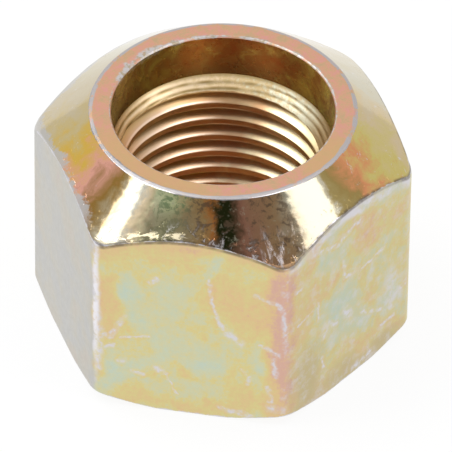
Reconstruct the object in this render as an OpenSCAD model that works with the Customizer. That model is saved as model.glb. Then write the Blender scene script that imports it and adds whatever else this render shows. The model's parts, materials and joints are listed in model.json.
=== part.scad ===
// Conical-seat lug nut, made in one piece from rounded hexagon bar.
// The nut stands on its flat base with the seat cone up.
// The origin is at the centre of the base, +Z runs along the thread towards the seat,
// and two corners of the hexagon lie on the X axis. All lengths are in millimetres.

/* [Hexagon] */
// Width across the flats
hex_across_flats = 22.225; // [20.5:0.005:27]
// Radius of the six upright corners
hex_corner_radius = 1.5; // [0.4:0.1:3]
// Height from the base to the rim
nut_height = 17.1; // [13:0.1:25]

/* [Thread] */
// Nominal (major) diameter of the thread
thread_major_diameter = 14.2875; // [12:0.0005:15.5]
// Pitch of the thread
thread_pitch = 1.4111; // [1:0.0001:2]
// Height of the thread, as a percentage of a full sharp thread's height
thread_percent = 78; // [50:1:85]
// Included angle of the lead-in cones at both ends of the thread
lead_in_angle = 82; // [60:1:120]
// Width of the base's lead-in outside the major diameter
base_lead_in_margin = 0.3; // [0.1:0.05:0.8]

/* [Counterbore] */
// Radial room between the counterbore and the thread's major diameter
counterbore_clearance = 0.2; // [0.1:0.01:0.6]
// Depth of the counterbore's straight wall below the rim
counterbore_depth = 3.2; // [1.5:0.1:6]
// Edge break at the mouth of the counterbore
mouth_edge_break = 0.1; // [0.05:0.01:0.4]

/* [Seat] */
// Included angle of the seat cone
seat_angle = 98; // [60:1:100]
// Radial width of the wall between the counterbore and the rim's outer edge
rim_wall = 1.38; // [1.1:0.01:2]
// Edge break between the rim and the seat cone
rim_edge_break = 0.12; // [0.05:0.01:0.4]

/* [Base] */
// Slope of the corner chamfer above the base
base_chamfer_angle = 27; // [15:1:45]
// How far the circle of the base face stands outside the flats
base_face_margin = 0.05; // [0.05:0.01:0.5]

/* [Hidden] */

// Smoothness of the round surfaces
$fn = 96;
// How far each cut runs past the face that it opens
cut = 1;
// How far the turned blank stands outside the hexagon's corners
blank_margin = 1;
// Height of a full 60 degree thread for each unit of pitch, on the radius
full_thread_height = 0.64952;
// Number of flats, and the angle between two of them
flat_count = 6;
flat_step = 360 / flat_count;

// Hexagon: the centre of each corner's arc, and the half length of a flat between two arcs
flat_radius = hex_across_flats / 2;
corner_centre = (flat_radius - hex_corner_radius) / cos(flat_step / 2);
flat_half_length = corner_centre * sin(flat_step / 2);
corner_radius = corner_centre + hex_corner_radius;
blank_radius = corner_radius + blank_margin;

// Thread, lead-ins and counterbore
thread_major_radius = thread_major_diameter / 2;
thread_height = full_thread_height * thread_pitch * thread_percent / 100;
thread_minor_radius = thread_major_radius - thread_height;
lead_in_slope = tan(lead_in_angle / 2);
counterbore_radius = thread_major_radius + counterbore_clearance;
counterbore_floor = nut_height - counterbore_depth;
lead_in_end = counterbore_floor - (counterbore_radius - thread_minor_radius) / lead_in_slope;
base_lead_in_radius = thread_major_radius + base_lead_in_margin;
base_lead_in_end = (base_lead_in_radius - thread_minor_radius) / lead_in_slope;

// Seat cone and rim
seat_half_angle = seat_angle / 2;
rim_radius = counterbore_radius + rim_wall;
seat_end = nut_height - (blank_radius - rim_radius) / tan(seat_half_angle);

// Base chamfer
base_face_radius = flat_radius + base_face_margin;
base_chamfer_end = (blank_radius - base_face_radius) * tan(base_chamfer_angle);

// Outline of the bar: a flat-sided core with an arc at each corner
module rounded_hexagon() {
    // Both ends of every flat, in turn round the bar
    flat_ends = [
        for (flat = [0 : flat_count - 1], side = [-1, 1])
            let (turn = flat_step * (flat + 0.5))
            [flat_radius * cos(turn) - side * flat_half_length * sin(turn),
             flat_radius * sin(turn) + side * flat_half_length * cos(turn)]
    ];
    polygon(flat_ends);
    for (corner = [0 : flat_count - 1])
        rotate(flat_step * corner)
            translate([corner_centre, 0])
                circle(r = hex_corner_radius);
}

// Everything that turning leaves: the base chamfer, the seat cone and the flat rim
module turned_blank() {
    rotate_extrude()
        polygon([
            [0, 0],
            [base_face_radius, 0],
            [blank_radius, base_chamfer_end],
            [blank_radius, seat_end],
            [rim_radius + rim_edge_break * sin(seat_half_angle),
             nut_height - rim_edge_break * cos(seat_half_angle)],
            [rim_radius - rim_edge_break, nut_height],
            [0, nut_height]
        ]);
}

// The hole: base lead-in, thread bore, lead-in, counterbore and broken mouth edge
module stepped_hole() {
    rotate_extrude()
        polygon([
            [0, -cut],
            [base_lead_in_radius + cut * lead_in_slope, -cut],
            [thread_minor_radius, base_lead_in_end],
            [thread_minor_radius, lead_in_end],
            [counterbore_radius, counterbore_floor],
            [counterbore_radius, nut_height - mouth_edge_break],
            [counterbore_radius + mouth_edge_break + cut, nut_height + cut],
            [0, nut_height + cut]
        ]);
}

// The nut in one piece, in the colour of its yellow zinc plating
module lug_nut() {
    color("#c9b36a")
        difference() {
            intersection() {
                linear_extrude(nut_height)
                    rounded_hexagon();
                turned_blank();
            }
            stepped_hole();
        }
}

lug_nut();
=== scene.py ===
"""Looks of a yellow zinc plated lug nut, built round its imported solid."""
import json
import math

import bpy
import numpy as np
from mathutils import Matrix, Vector


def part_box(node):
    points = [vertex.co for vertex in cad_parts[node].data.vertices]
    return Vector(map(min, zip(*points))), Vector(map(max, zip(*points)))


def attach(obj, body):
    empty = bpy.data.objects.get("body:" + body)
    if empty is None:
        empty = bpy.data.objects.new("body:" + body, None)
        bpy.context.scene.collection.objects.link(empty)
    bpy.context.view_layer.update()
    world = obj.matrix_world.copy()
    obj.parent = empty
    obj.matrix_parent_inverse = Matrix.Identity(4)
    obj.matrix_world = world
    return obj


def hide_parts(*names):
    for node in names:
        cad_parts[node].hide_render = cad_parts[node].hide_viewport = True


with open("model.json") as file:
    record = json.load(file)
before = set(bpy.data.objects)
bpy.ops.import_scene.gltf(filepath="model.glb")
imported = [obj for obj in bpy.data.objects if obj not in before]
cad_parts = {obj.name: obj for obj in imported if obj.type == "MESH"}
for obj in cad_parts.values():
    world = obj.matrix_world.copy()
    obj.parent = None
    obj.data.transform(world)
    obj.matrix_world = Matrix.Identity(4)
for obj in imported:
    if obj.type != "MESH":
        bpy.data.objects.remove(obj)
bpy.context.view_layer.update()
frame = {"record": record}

# Sizes of the nut, in millimetres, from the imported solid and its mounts
MM = 0.001
NODE = "lug_nut"
MOUNTS = {mount["name"]: mount for mount in frame["record"]["mounts"]}
BOX_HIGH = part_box(NODE)[1] / MM
FLAT_RADIUS = BOX_HIGH.y
CORNER_REACH = BOX_HIGH.x
NUT_HEIGHT = BOX_HIGH.z
THREAD_MINOR = MOUNTS["thread"]["dims"]["r_mm"]
COUNTERBORE_RADIUS = MOUNTS["counterbore"]["dims"]["r_mm"]

# Sizes that the solid has and the frame doesn't name
RIM_WALL = 1.38
RIM_EDGE_BREAK = 0.12
MOUTH_EDGE_BREAK = 0.1
SEAT_HALF_ANGLE = math.radians(49)
COUNTERBORE_DEPTH = 3.2
LEAD_IN_HALF_ANGLE = math.radians(41)
BASE_FACE_MARGIN = 0.05
BASE_CHAMFER_ANGLE = math.radians(27)
BASE_LEAD_IN_MARGIN = 0.3

# Thread: 60 degree form, right-hand
THREAD_MAJOR = 7.14375
THREAD_PITCH = 1.4111
FLANK_ANGLE = math.radians(30)
ROOT_FLAT = THREAD_PITCH / 8
ROOT_EASE = 0.05
CREST_EASE = 0.02
THREAD_PHASE = 0.35

# Places that follow from the sizes
HALF_STEP = math.radians(30)
QUARTER_TURN = math.radians(90)
FLAT_COUNT = 6
CORNER_ARC = (FLAT_RADIUS / math.cos(HALF_STEP) - CORNER_REACH) / (1 / math.cos(HALF_STEP) - 1)
CORNER_CENTRE = CORNER_REACH - CORNER_ARC
FLAT_HALF = CORNER_CENTRE * math.sin(HALF_STEP)
SIDE_LENGTH = 2 * FLAT_HALF + 2 * HALF_STEP * CORNER_ARC
ROUND_TRIP = FLAT_COUNT * SIDE_LENGTH
RIM_RADIUS = COUNTERBORE_RADIUS + RIM_WALL
COUNTERBORE_FLOOR = NUT_HEIGHT - COUNTERBORE_DEPTH
LEAD_IN_END = COUNTERBORE_FLOOR - (COUNTERBORE_RADIUS - THREAD_MINOR) / math.tan(LEAD_IN_HALF_ANGLE)
FLANK_SLOPE = 1 / math.tan(FLANK_ANGLE)
SHARP_CREST = THREAD_MAJOR - (THREAD_PITCH - ROOT_FLAT) / 2 * FLANK_SLOPE
CREST_FLOOR = THREAD_MINOR - CREST_EASE ** 2 / (4 * (THREAD_MINOR - SHARP_CREST))
BASE_FACE_RADIUS = FLAT_RADIUS + BASE_FACE_MARGIN
BASE_LEAD_IN_RADIUS = THREAD_MAJOR + BASE_LEAD_IN_MARGIN
BASE_LEAD_IN_END = (BASE_LEAD_IN_RADIUS - THREAD_MINOR) / math.tan(LEAD_IN_HALF_ANGLE)

# Camera, fitted to the photograph's edges: degrees, millimetres and a 36 mm wide sensor
VIEW_AZIMUTH = math.radians(9.989)
VIEW_ELEVATION = math.radians(41.713)
VIEW_ROLL = math.radians(0.756)
VIEW_DISTANCE = 600.0
VIEW_TARGET = Vector((0, 0, 8.89))
VIEW_PAN = (0.273, -1.499)
VIEW_LENS = 722.72
SENSOR_WIDTH = 36.0
CLIP_START = 0.01
CLIP_END = 10.0


# Shape of the outside

# Largest share of a side that an eased corner takes, and the lowest and highest wave of a ripple
EASE_LIMIT = 0.4
RIPPLE_HEIGHTS = (0.4, 1.0)


def cosine_steps(count):
    """Shares from 0 to 1 that lie closer together towards both ends."""
    return (1 - np.cos(np.linspace(0, math.pi, count + 1))) / 2


def outline(flat_steps, corner_steps):
    """Points round the rounded hexagon, with the number of each point's flat and its place along it."""
    points, places = [], []
    for flat in range(FLAT_COUNT):
        turn = HALF_STEP * (2 * flat + 1)
        along = (cosine_steps(flat_steps) * 2 - 1) * FLAT_HALF
        for place in along:
            points.append((
                FLAT_RADIUS * math.cos(turn) - place * math.sin(turn),
                FLAT_RADIUS * math.sin(turn) + place * math.cos(turn),
            ))
            places.append((flat, place))
        corner = HALF_STEP * (2 * flat + 2)
        for step in range(1, corner_steps):
            bend = HALF_STEP * (2 * step / corner_steps - 1)
            points.append((
                CORNER_CENTRE * math.cos(corner) + CORNER_ARC * math.cos(corner + bend),
                CORNER_CENTRE * math.sin(corner) + CORNER_ARC * math.sin(corner + bend),
            ))
            places.append((flat, FLAT_HALF + CORNER_ARC * (bend + HALF_STEP)))
    return np.array(points), np.array(places)


def eased_path(corners, eases, steps, ease_steps):
    """One row of points per step along a path of corner points, with each inner corner eased by a curve.

    corners is a list of (radius, height) pairs of arrays, one value per column.
    Returns the rows and, for each corner, the number of the row at its middle."""
    corners = [np.stack(np.broadcast_arrays(*corner), axis=-1) for corner in corners]
    starts, ends = [corners[0]], []
    for number in range(1, len(corners) - 1):
        before = corners[number - 1] - corners[number]
        after = corners[number + 1] - corners[number]
        length_before = np.linalg.norm(before, axis=-1, keepdims=True)
        length_after = np.linalg.norm(after, axis=-1, keepdims=True)
        ease = np.minimum(eases[number - 1], EASE_LIMIT * np.minimum(length_before, length_after))
        ends.append(corners[number] + before / length_before * ease)
        starts.append(corners[number] + after / length_after * ease)
    ends.append(corners[-1])
    rows, middles = [], [0]
    for number, count in enumerate(steps):
        for share in cosine_steps(count):
            rows.append(starts[number] * (1 - share) + ends[number] * share)
        if number < len(steps) - 1:
            middles.append(len(rows) - 1 + ease_steps // 2)
            for step in range(1, ease_steps):
                share = step / ease_steps
                rows.append(
                    ends[number] * (1 - share) ** 2
                    + corners[number + 1] * 2 * share * (1 - share)
                    + starts[number + 1] * share ** 2
                )
    middles.append(len(rows) - 1)
    return np.array(rows), middles


def ripple(angles, amount, waves, seed):
    """A small smooth unevenness round the axis, the same on every run."""
    source = np.random.default_rng(seed)
    total = np.zeros_like(angles)
    for wave in waves:
        total += source.uniform(*RIPPLE_HEIGHTS) * np.sin(wave * angles + source.uniform(0, 2 * math.pi))
    return amount * total / len(waves)


# Shape of the hole

# Turning grooves of the lead-in: places, width and depth, and how they wander, swell and fade round it
GROOVE_SHARES = (0.32, 0.64)
GROOVE_WIDTH = 0.08
GROOVE_DEPTH = 0.03
GROOVE_WANDER = (0.045, (2, 3, 7, 17), 5)
GROOVE_MEAN = 0.8
GROOVE_SWING = 0.9
GROOVE_WAVES = (3, 7, 16, 29)
GROOVE_LEAST = 0.35


def soft_floor(value, low, ease):
    """value held above low, with the bend eased."""
    return low + (np.sqrt((value - low) ** 2 + ease ** 2) + (value - low)) / 2


def thread_radius(angles, heights):
    """Radius of the helical thread at places round and along the axis."""
    turns = heights / THREAD_PITCH - angles / (2 * math.pi) + THREAD_PHASE
    from_root = np.abs(turns - np.round(turns)) * THREAD_PITCH
    sharp = THREAD_MAJOR - (from_root - ROOT_FLAT / 2) * FLANK_SLOPE
    crested = soft_floor(sharp, CREST_FLOOR, CREST_EASE)
    return -soft_floor(-crested, -THREAD_MAJOR, ROOT_EASE)


def lead_in_share(heights):
    """How far up the lead-in a height lies, from 0 at its end to 1 at the counterbore's floor."""
    return np.clip((heights - LEAD_IN_END) / (COUNTERBORE_FLOOR - LEAD_IN_END), 0, 1)


def lead_in_grooves(angles, heights):
    """How deep the lead-in's fine turning grooves are, as a share of the deepest. They come and go."""
    angles = np.asarray(angles, dtype=float)
    share = lead_in_share(heights) + ripple(angles, *GROOVE_WANDER)
    total = np.zeros_like(angles)
    for number, place in enumerate(GROOVE_SHARES):
        depth = np.clip(GROOVE_MEAN + ripple(angles, GROOVE_SWING, GROOVE_WAVES, number), GROOVE_LEAST, 1)
        total = total + depth * np.exp(-((share - place) / GROOVE_WIDTH) ** 2)
    return total


def lead_in_radius(angles, heights):
    """Radius of the grooved lead-in cone above the thread."""
    cone = THREAD_MINOR + (COUNTERBORE_RADIUS - THREAD_MINOR) * lead_in_share(heights)
    return cone + GROOVE_DEPTH * lead_in_grooves(angles, heights)


def base_lead_in_radius(heights):
    """Radius of the plain lead-in cone at the base."""
    return THREAD_MINOR + np.maximum(BASE_LEAD_IN_END - heights, 0) * math.tan(LEAD_IN_HALF_ANGLE)


def hole_radius(angles, heights):
    """Radius of the hole below the counterbore: the widest of the thread and the two lead-ins."""
    lead_ins = np.maximum(lead_in_radius(angles, heights), base_lead_in_radius(heights))
    return np.maximum(thread_radius(angles, heights), lead_ins)


def thread_shares():
    """Shares of one pitch at which the thread has a row, closer together where its form bends.

    The crest's upper edge is eased and its lower edge is sharp."""
    half = THREAD_PITCH / 2
    root_bends = (-0.03, 0.02, 0.07)
    crest_bends = (0.05, 0.012, -0.012, -0.035)
    flank_end = ROOT_FLAT / 2 + (THREAD_MAJOR - THREAD_MINOR) * math.tan(FLANK_ANGLE)
    root_rows = [0.0] + [ROOT_FLAT / 2 + bend for bend in root_bends]
    crest_rows = [flank_end - bend for bend in crest_bends]
    middle_row = [(root_rows[-1] + crest_rows[0]) / 2]
    lower_side = np.array(root_rows + middle_row + [crest_rows[0], flank_end]) / THREAD_PITCH
    upper_side = np.array(root_rows + middle_row + crest_rows) / THREAD_PITCH
    return np.concatenate([lower_side, [half / THREAD_PITCH], 1 - upper_side[::-1]])


# The nut's mesh

# Zones of the skin, in the order of their materials
FLATS, SEAT, RIM, WALL, THREAD = range(5)

# Corners of the section, from the base round the outside to the mouth, and the steps between them
BASE_EDGE, CHAMFER_EDGE, SEAT_EDGE, RIM_LOW, RIM_HIGH, MOUTH_HIGH, MOUTH_LOW = range(1, 8)
SECTION_STEPS = (4, 3, 16, 14, 3, 8, 3, 8)
FLAT_STEPS = 34
CORNER_STEPS = 10
EASE_STEPS = 4
LEAD_IN_ROWS = 30
BASE_LEAD_IN_ROWS = 10
SPARE_TURNS = 1
SHARP_FROM = math.radians(46)

# How far the edges are eased, and the least room that the base's edge and chamfer keep on the flats
BASE_EASE = 0.1
CHAMFER_EASE = 0.12
SEAT_EDGE_EASE = 0.09
SEAT_CORNER_EASE = 0.36
SEAT_CORNER_NARROWING = 4
RIM_EASE = 0.05
MOUTH_EASE = 0.04
BASE_EDGE_ROOM = 0.15
CHAMFER_LEAST = 0.1
SEAT_EDGE_RIPPLE = (0.035, (5, 9, 17, 31, 47), 3)

# Width of the wear on the edges, and its unevenness; the mouth is rubbed at the back and most in one patch
EDGE_WEAR = 0.13
EDGE_WEAR_RIPPLE = (1.4, (8, 15, 27, 44), 10)
RIM_WEAR = 0.075
RIM_WEAR_RIPPLE = (1.2, (6, 13, 21, 34, 55), 9)
MOUTH_WEAR = 0.03
MOUTH_WEAR_RIPPLE = (1.1, (5, 11, 23, 37, 53), 8)
MOUTH_BACK_WEAR = 0.17
MOUTH_BACK_TURN = math.radians(150)
MOUTH_BACK_NARROWING = 2
MOUTH_PATCH_WEAR = 0.6
MOUTH_PATCH_TURN = math.radians(-133)
MOUTH_PATCH_NARROWING = 20


class NutMesh:
    """Collects the nut's vertices and faces, with each face's zone and each corner's place on the skin."""

    def __init__(self):
        self.points, self.wear = [], []
        self.faces, self.zones, self.places = [], [], []

    def ring(self, radii, heights, angles, wear=0.0):
        """Adds one vertex per column and returns their numbers."""
        first = len(self.points)
        for radius, height, angle in zip(radii, heights, angles):
            self.points.append((radius * math.cos(angle), radius * math.sin(angle), height))
        self.wear.extend(np.broadcast_to(wear, len(angles)).tolist())
        return list(range(first, len(self.points)))

    def face(self, corners, zone, places):
        """Adds a face, without corners that fall together."""
        kept = [number for number, corner in enumerate(corners) if corner != corners[number - 1]]
        if len(kept) > 2:
            self.faces.append([corners[number] for number in kept])
            self.zones.append(zone)
            self.places.extend(places[number] for number in kept)


def mouth_wear_width(angles):
    """Width of the wear along the mouth's edge."""
    from_front = angles - (VIEW_AZIMUTH - QUARTER_TURN)
    back = ((1 + np.cos(from_front - MOUTH_BACK_TURN)) / 2) ** MOUTH_BACK_NARROWING
    patch = ((1 + np.cos(from_front - MOUTH_PATCH_TURN)) / 2) ** MOUTH_PATCH_NARROWING
    width = MOUTH_WEAR + (MOUTH_BACK_WEAR - MOUTH_WEAR) * back
    width = width + (MOUTH_PATCH_WEAR - width) * patch
    return width * (1 + ripple(angles, *MOUTH_WEAR_RIPPLE))


def section_path(angles, reach):
    """Corner points of the section, from the base lead-in round the outside to the counterbore's floor."""
    flat = np.zeros(len(angles))
    base_edge = np.minimum(BASE_FACE_RADIUS, reach - BASE_EDGE_ROOM)
    chamfer_top = np.maximum((reach - base_edge) * math.tan(BASE_CHAMFER_ANGLE), CHAMFER_LEAST)
    seat_low = NUT_HEIGHT - (reach - RIM_RADIUS) / math.tan(SEAT_HALF_ANGLE)
    return [
        (flat + BASE_LEAD_IN_RADIUS, flat),
        (base_edge, flat),
        (reach, chamfer_top),
        (reach, seat_low + ripple(angles, *SEAT_EDGE_RIPPLE)),
        (flat + RIM_RADIUS + RIM_EDGE_BREAK * math.sin(SEAT_HALF_ANGLE),
         flat + NUT_HEIGHT - RIM_EDGE_BREAK * math.cos(SEAT_HALF_ANGLE)),
        (flat + RIM_RADIUS - RIM_EDGE_BREAK, flat + NUT_HEIGHT),
        (flat + COUNTERBORE_RADIUS + MOUTH_EDGE_BREAK, flat + NUT_HEIGHT),
        (flat + COUNTERBORE_RADIUS, flat + NUT_HEIGHT - MOUTH_EDGE_BREAK),
        (flat + COUNTERBORE_RADIUS, flat + COUNTERBORE_FLOOR),
    ]


def build_nut():
    """The whole nut as one closed mesh, wound round its axis."""
    points, places = outline(FLAT_STEPS, CORNER_STEPS)
    angles = np.unwrap(np.arctan2(points[:, 1], points[:, 0]))
    reach = np.hypot(points[:, 0], points[:, 1])
    columns = len(angles)
    along = places[:, 0] * SIDE_LENGTH + places[:, 1]
    cornered = np.clip((reach - FLAT_RADIUS) / (CORNER_REACH - FLAT_RADIUS), 0, 1)[:, None]
    cornered = cornered ** SEAT_CORNER_NARROWING
    seat_ease = SEAT_EDGE_EASE + (SEAT_CORNER_EASE - SEAT_EDGE_EASE) * cornered
    eases = (BASE_EASE, CHAMFER_EASE, seat_ease, RIM_EASE, RIM_EASE, MOUTH_EASE, MOUTH_EASE)
    rows, middles = eased_path(section_path(angles, reach), eases, SECTION_STEPS, EASE_STEPS)

    # Wear of the edges, and how far each row lies below the seat's lower edge
    lengths = np.linalg.norm(np.diff(rows, axis=0), axis=-1)
    travelled = np.concatenate([np.zeros((1, columns)), np.cumsum(lengths, axis=0)])
    rim_wear = RIM_WEAR * (1 + ripple(angles, *RIM_WEAR_RIPPLE))
    wear_widths = {
        BASE_EDGE: EDGE_WEAR,
        CHAMFER_EDGE: EDGE_WEAR,
        SEAT_EDGE: EDGE_WEAR * (1 + ripple(angles, *EDGE_WEAR_RIPPLE)),
        RIM_LOW: rim_wear,
        RIM_HIGH: rim_wear,
        MOUTH_HIGH: mouth_wear_width(angles),
    }
    wear = np.max([
        np.exp(-((travelled - travelled[middles[corner]]) / width) ** 2)
        for corner, width in wear_widths.items()
    ], axis=0)
    wear[middles[RIM_LOW]:middles[RIM_HIGH] + 1] = 1.0
    drops = travelled[middles[SEAT_EDGE]] - travelled

    nut = NutMesh()
    rings = [
        (nut.ring(row[:, 0], row[:, 1], angles, row_wear), row[:, 1], drop)
        for row, row_wear, drop in zip(rows, wear, drops)
    ]

    def band(lower, upper, zone):
        """Faces between two whole rings, each given as its vertices, heights and drops."""
        for column in range(columns):
            after = (column + 1) % columns
            next_along = along[after] + (ROUND_TRIP if after == 0 else 0.0)
            loop = ((lower, column, along[column]), (lower, after, next_along),
                    (upper, after, next_along), (upper, column, along[column]))
            nut.face(
                [ring[0][place] for ring, place, side in loop], zone,
                [(side, ring[1][place], ring[2][place]) for ring, place, side in loop],
            )

    zone_ends = (
        (middles[SEAT_EDGE], FLATS),
        (middles[RIM_LOW] + 1, SEAT),
        (middles[MOUTH_LOW], RIM),
        (len(rows), WALL),
    )
    for number in range(len(rings) - 1):
        zone = next(zone for end, zone in zone_ends if number < end)
        band(rings[number], rings[number + 1], zone)

    # Lead-in above the thread, in level rows from the counterbore's floor down
    level_drop = np.zeros(columns)
    upper = (*rings[-1][:2], level_drop)
    for height in np.linspace(COUNTERBORE_FLOOR, LEAD_IN_END, LEAD_IN_ROWS + 1)[1:]:
        heights = np.full(columns, height)
        # The wear value of these rows holds the grooves' depth, which the thread's material paints darker as
        # shade
        grooves = lead_in_grooves(angles, heights)
        lower = (nut.ring(hole_radius(angles, heights), heights, angles, grooves), heights, level_drop)
        band(upper, lower, THREAD)
        upper = lower

    # Base lead-in, in level rows from the base up
    base = (*rings[0][:2], level_drop)
    for height in np.linspace(0, BASE_LEAD_IN_END, BASE_LEAD_IN_ROWS + 1)[1:]:
        heights = np.full(columns, height)
        higher = (nut.ring(hole_radius(angles, heights), heights, angles), heights, level_drop)
        band(higher, base, THREAD)
        base = higher

    # Thread between the lead-ins, in rows that follow the helix and stop at both ends
    shares = thread_shares()
    per_turn = len(shares) - 1
    turns = int(math.ceil((LEAD_IN_END - BASE_LEAD_IN_END) / THREAD_PITCH)) + 2 * SPARE_TURNS
    first_turn = math.floor(BASE_LEAD_IN_END / THREAD_PITCH + THREAD_PHASE) - SPARE_TURNS
    levels = np.concatenate([first_turn + turn + shares[:-1] for turn in range(turns + 1)])
    numbers = {}

    def thread_vertex(column, level):
        """The vertex of a helical row at a column: a new one, or the end ring's past the row's end."""
        if column == columns:
            column, level = 0, level + per_turn
        place = levels[min(level, len(levels) - 1)] - THREAD_PHASE + angles[column] / (2 * math.pi)
        height = place * THREAD_PITCH
        if level >= len(levels) or height >= LEAD_IN_END:
            return upper[0][column], LEAD_IN_END
        if height <= BASE_LEAD_IN_END:
            return base[0][column], BASE_LEAD_IN_END
        if (column, level) not in numbers:
            radius = max(float(thread_radius(angles[column], height)), THREAD_MINOR)
            numbers[column, level] = nut.ring([radius], [height], [angles[column]])[0]
        return numbers[column, level], height

    around = ((0, 0), (0, 1), (1, 1), (1, 0))
    for column in range(columns):
        next_along = along[column + 1] if column + 1 < columns else ROUND_TRIP + along[0]
        sides = (along[column], along[column], next_along, next_along)
        for level in range(len(levels)):
            loop = [thread_vertex(column + over, level + up) for over, up in around]
            nut.face(
                [vertex for vertex, height in loop], THREAD,
                [(side, height, 0.0) for side, (vertex, height) in zip(sides, loop)],
            )
    return nut


def make_object(name, nut, materials):
    """An object from the collected mesh, in metres."""
    mesh = bpy.data.meshes.new(name)
    mesh.from_pydata([tuple(value * MM for value in point) for point in nut.points], [], nut.faces)
    for material in materials:
        mesh.materials.append(material)
    mesh.polygons.foreach_set("material_index", nut.zones)
    mesh.polygons.foreach_set("use_smooth", [True] * len(nut.faces))
    wear = mesh.attributes.new("wear", "FLOAT", "POINT")
    wear.data.foreach_set("value", nut.wear)
    surface = mesh.attributes.new("surface", "FLOAT_VECTOR", "CORNER")
    surface.data.foreach_set("vector", [value for place in nut.places for value in place])
    mesh.update()
    mesh.validate()
    mesh.set_sharp_from_angle(angle=SHARP_FROM)
    thing = bpy.data.objects.new(name, mesh)
    bpy.context.scene.collection.objects.link(thing)
    return thing


# Materials

# Span of most of a noise, its middle, and the factors that keep two coordinates of a place
NOISE_RANGE = (0.25, 0.75)
NOISE_MIDDLE = 0.5
LEVEL = (1.0, 1.0, 0.0)
WHITE = (1.0, 1.0, 1.0)

# Sockets of a colour mix
MIX_FIRST, MIX_SECOND = 6, 7
MIX_RESULT = 2


class Tree:
    """Short names for adding shader nodes and joining them."""

    def __init__(self, tree):
        self.tree = tree

    def add(self, kind, values=None, **settings):
        node = self.tree.nodes.new(kind)
        for key, value in settings.items():
            setattr(node, key, value)
        for key, value in (values or {}).items():
            self.put(node.inputs[key], value)
        return node

    def put(self, socket, value):
        """Joins a socket to another, or sets it to a number or a colour."""
        if isinstance(value, bpy.types.NodeSocket):
            self.tree.links.new(value, socket)
        elif socket.type == "RGBA" and len(value) == 3:
            socket.default_value = (*value, 1.0)
        else:
            socket.default_value = value

    def math(self, operation, first, second=0.0, third=0.0, clamp=False):
        values = {0: first, 1: second, 2: third}
        return self.add("ShaderNodeMath", values, operation=operation, use_clamp=clamp).outputs[0]

    def chain(self, operation, values):
        """Several numbers joined by one operation, in turn."""
        total = values[0]
        for value in values[1:]:
            total = self.math(operation, total, value)
        return total

    def times(self, *values):
        return self.chain("MULTIPLY", values)

    def most(self, *values):
        return self.chain("MAXIMUM", values)

    def vector(self, operation, first, second=None, **values):
        """The result of a vector operation: a number for a product or a length, and otherwise a vector."""
        given = {0: first, **values}
        if second is not None:
            given[1] = second
        node = self.add("ShaderNodeVectorMath", given, operation=operation)
        return node.outputs["Value" if operation in ("DOT_PRODUCT", "LENGTH", "DISTANCE") else "Vector"]

    def part(self, vector, axis):
        """One coordinate of a vector."""
        return self.add("ShaderNodeSeparateXYZ", {"Vector": vector}).outputs[axis]

    def attribute(self, name, output):
        """A value that the mesh carries."""
        return self.add("ShaderNodeAttribute", attribute_name=name).outputs[output]

    def span(self, value, low, high, to_low=0.0, to_high=1.0):
        """value eased from one span to another."""
        node = self.add(
            "ShaderNodeMapRange",
            {"Value": value, "From Min": low, "From Max": high, "To Min": to_low, "To Max": to_high},
            interpolation_type="SMOOTHSTEP",
        )
        return node.outputs["Result"]

    def window(self, value, rise, fall):
        """1 between two soft limits and 0 outside them."""
        return self.times(self.span(value, *rise), self.span(value, *fall))

    def noise(self, place, scale, detail=3.0, rough=0.55, twist=0.0):
        node = self.add(
            "ShaderNodeTexNoise",
            {"Vector": place, "Scale": scale, "Detail": detail, "Roughness": rough, "Distortion": twist},
        )
        return node.outputs["Fac"]

    def swing(self, noise):
        """A noise moved to run both ways from 0."""
        return self.math("SUBTRACT", noise, NOISE_MIDDLE)

    def ramp(self, share, stops):
        """A colour that runs through stops, each a place and a colour."""
        node = self.add("ShaderNodeValToRGB", {"Fac": share})
        elements = node.color_ramp.elements
        while len(elements) < len(stops):
            elements.new(0.5)
        for element, (place, colour) in zip(elements, stops):
            element.position = place
            element.color = (*colour, 1.0)
        return node.outputs["Color"]

    def mix(self, share, first, second):
        """A number between two others."""
        return self.math("MULTIPLY_ADD", self.math("SUBTRACT", second, first), share, first)

    def blend(self, share, first, second):
        """A colour between two others."""
        node = self.add("ShaderNodeMix", data_type="RGBA", clamp_factor=True)
        self.put(node.inputs["Factor"], share)
        self.put(node.inputs[MIX_FIRST], first)
        self.put(node.inputs[MIX_SECOND], second)
        return node.outputs[MIX_RESULT]


def around_front(*degrees):
    """Angles round the axis from the front, in radians."""
    return tuple(math.radians(angle) for angle in degrees)


# Colours that the chromate film on the flats runs through as it thickens, as linear values
FILM = (
    (0.0, (0.55, 0.63, 0.52)),
    (0.18, (0.60, 0.63, 0.45)),
    (0.36, (0.65, 0.62, 0.38)),
    (0.5, (0.70, 0.61, 0.28)),
    (0.64, (0.71, 0.57, 0.28)),
    (0.8, (0.73, 0.53, 0.28)),
    (1.0, (0.68, 0.43, 0.34)),
)
BLUE, GREEN, STRAW, YELLOW, GOLD, ORANGE, PINK = (place for place, colour in FILM)
SILVER = (0.555, 0.545, 0.53)
DULL = (0.56, 0.47, 0.27)
# A dark brown grey, for darker lines and areas
DARK_BROWN_GREY = (0.14, 0.11, 0.08)
BARE_ZINC = (0.69, 0.67, 0.71)
# Rubbed zinc with a painted highlight, down the corner between the left and front flats
POLISH_AND_HIGHLIGHT = (0.88, 0.86, 0.90)
WORN_EDGE = (0.62, 0.58, 0.57)
PALE_FILM = (0.66, 0.62, 0.46)
DARK_FILM = (0.20, 0.13, 0.08)
GREEN_STAIN = (0.27, 0.40, 0.19)
BROWN_FILM = (0.42, 0.33, 0.19)
# Painted glint on the seat's nicks
GLINT = (0.98, 0.86, 0.60)
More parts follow.
